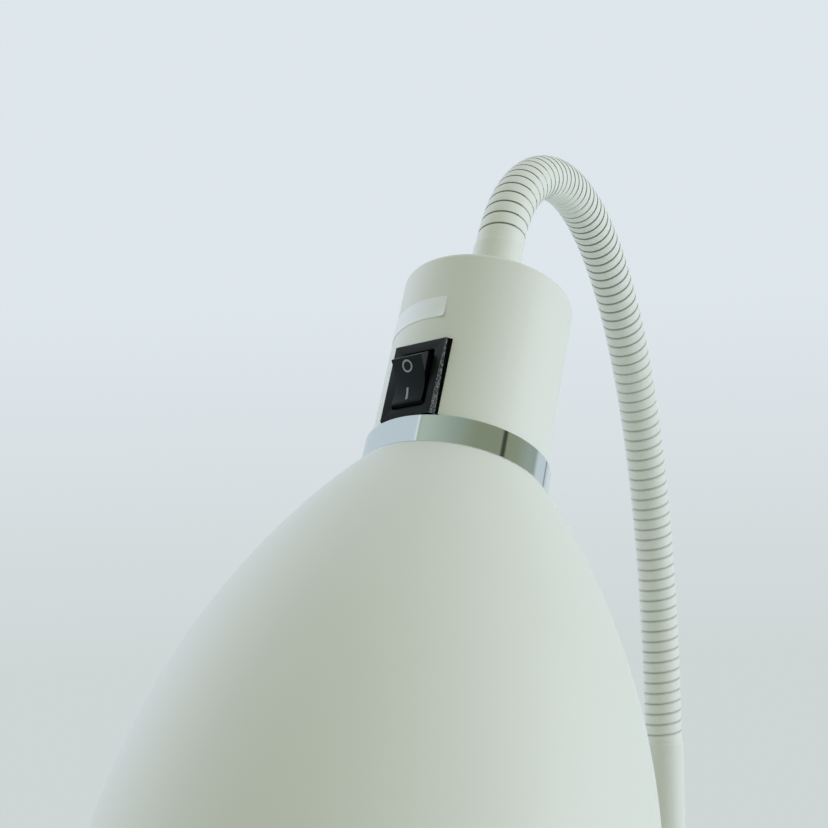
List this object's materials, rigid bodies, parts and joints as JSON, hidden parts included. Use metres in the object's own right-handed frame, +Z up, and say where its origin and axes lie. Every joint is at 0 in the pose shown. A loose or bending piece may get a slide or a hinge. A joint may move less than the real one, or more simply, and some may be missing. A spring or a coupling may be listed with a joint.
{
  "type": "floor lamp",
  "caption": "Floor lamp with a weighted round base, a slim pole and a flexible ribbed gooseneck that carries a bell shade with a rocker switch on its housing.",
  "frame": {"origin": "on the floor, under the pole's axis, at the middle of the pad's lower face", "axes": "+Z up along the pole, the head hangs towards -Y, the cord inlet faces +Y"},
  "size_m": [0.24, 0.418, 1.3301],
  "materials": {
    "paint": "matte cream powder coat",
    "chrome": "polished",
    "switch_plastic": "fine satin",
    "rocker_plastic": "satin",
    "holder_plastic": "satin",
    "pad_rubber": "matte",
    "inlet_rubber": "matte",
    "lead_rubber": "matte",
    "iron": "rough cast",
    "steel": "zinc plated",
    "brass": "bare",
    "wire_plastic": "smooth",
    "lamp_glass": "frosted"
  },
  "bodies": {
    "stand": {"base_pad": "pad_rubber", "base_weight": "iron", "base_cover": "paint", "base_stud": "steel", "base_washer": "steel", "base_nut": "steel", "cord_inlet": "inlet_rubber", "foot_flange": "paint", "foot_plug": "steel", "pole_lower": "paint", "coupler_lower": "paint", "pole_middle": "paint", "coupler_upper": "paint", "pole_upper": "paint", "pole_lead": "lead_rubber", "neck_ferrule": "paint", "neck_link_01": "paint"},
    "neck_02": {"neck_link_02": "paint"},
    "neck_03": {"neck_link_03": "paint"},
    "neck_04": {"neck_link_04": "paint"},
    "neck_05": {"neck_link_05": "paint"},
    "neck_06": {"neck_link_06": "paint"},
    "neck_07": {"neck_link_07": "paint"},
    "neck_08": {"neck_link_08": "paint"},
    "neck_09": {"neck_link_09": "paint"},
    "neck_10": {"neck_link_10": "paint"},
    "neck_11": {"neck_link_11": "paint"},
    "neck_12": {"neck_link_12": "paint"},
    "head": {"neck_link_13": "paint", "neck_collar": "paint", "collar_washer": "steel", "collar_nut": "steel", "housing": "paint", "trim_ring": "chrome", "switch_body": "switch_plastic", "switch_tabs": "brass", "head_wires": "wire_plastic", "head_plate": "steel", "holder_stud": "steel", "holder_nut": "steel", "shade": "paint", "lampholder": "holder_plastic", "screw_shell": "brass", "centre_contact": "brass", "lamp_cap": "steel", "lamp_glass": "lamp_glass"},
    "rocker": {"switch_rocker": "rocker_plastic"}
  },
  "joints": [
    {"name": "neck_bend_lower", "type": "hinge", "parent": "stand", "child": "neck_02", "pos_m": [0, -0.00053, 1.16459], "axis": [1, 0, 0], "range_deg": [-10, 8]},
    {"name": "neck_sway", "type": "hinge", "parent": "neck_02", "child": "neck_03", "pos_m": [0, -0.00223, 1.18612], "axis": [0, 0.9941, 0.1083], "range_deg": [-10, 10]},
    {"name": "neck_bend_03", "type": "hinge", "parent": "neck_03", "child": "neck_04", "pos_m": [0, -0.00534, 1.20749], "axis": [1, 0, 0], "range_deg": [-10, 8]},
    {"name": "neck_sway_04", "type": "hinge", "parent": "neck_04", "child": "neck_05", "pos_m": [0, -0.01014, 1.22854], "axis": [0, 0.9643, 0.2647], "range_deg": [-10, 10]},
    {"name": "neck_bend_05", "type": "hinge", "parent": "neck_05", "child": "neck_06", "pos_m": [0, -0.01695, 1.24903], "axis": [1, 0, 0], "range_deg": [-10, 8]},
    {"name": "neck_sway_06", "type": "hinge", "parent": "neck_06", "child": "neck_07", "pos_m": [0, -0.02611, 1.26858], "axis": [0, 0.8766, 0.4813], "range_deg": [-10, 10]},
    {"name": "neck_bend_upper", "type": "hinge", "parent": "neck_07", "child": "neck_08", "pos_m": [0, -0.03793, 1.28663], "axis": [1, 0, 0], "range_deg": [-10, 8]},
    {"name": "neck_sway_08", "type": "hinge", "parent": "neck_08", "child": "neck_09", "pos_m": [0, -0.05266, 1.30238], "axis": [0, 0.6629, 0.7487], "range_deg": [-10, 10]},
    {"name": "neck_bend_09", "type": "hinge", "parent": "neck_09", "child": "neck_10", "pos_m": [0, -0.07032, 1.31474], "axis": [1, 0, 0], "range_deg": [-10, 8]},
    {"name": "neck_sway_10", "type": "hinge", "parent": "neck_10", "child": "neck_11", "pos_m": [0, -0.09049, 1.32228], "axis": [0, 0.2176, 0.976], "range_deg": [-10, 10]},
    {"name": "neck_bend_11", "type": "hinge", "parent": "neck_11", "child": "neck_12", "pos_m": [0, -0.11196, 1.32339], "axis": [1, 0, 0], "range_deg": [-10, 8]},
    {"name": "neck_sway_12", "type": "hinge", "parent": "neck_12", "child": "head", "pos_m": [0, -0.13232, 1.31665], "axis": [0, -0.4994, 0.8664], "range_deg": [-10, 10]},
    {"name": "switch_rocker", "type": "hinge", "parent": "head", "child": "rocker", "pos_m": [-0.00524, -0.19129, 1.2671], "axis": [-0.9632, 0.2286, -0.1417], "range_deg": [0, 34]}
  ],
  "couplings": [
    {"joint": "neck_bend_03", "follows": "neck_bend_lower", "ratio": 1},
    {"joint": "neck_sway_04", "follows": "neck_sway", "ratio": 1},
    {"joint": "neck_bend_05", "follows": "neck_bend_lower", "ratio": 1},
    {"joint": "neck_sway_06", "follows": "neck_sway", "ratio": 1},
    {"joint": "neck_sway_08", "follows": "neck_sway", "ratio": 1},
    {"joint": "neck_bend_09", "follows": "neck_bend_upper", "ratio": 1},
    {"joint": "neck_sway_10", "follows": "neck_sway", "ratio": 1},
    {"joint": "neck_bend_11", "follows": "neck_bend_upper", "ratio": 1},
    {"joint": "neck_sway_12", "follows": "neck_sway", "ratio": 1}
  ]
}
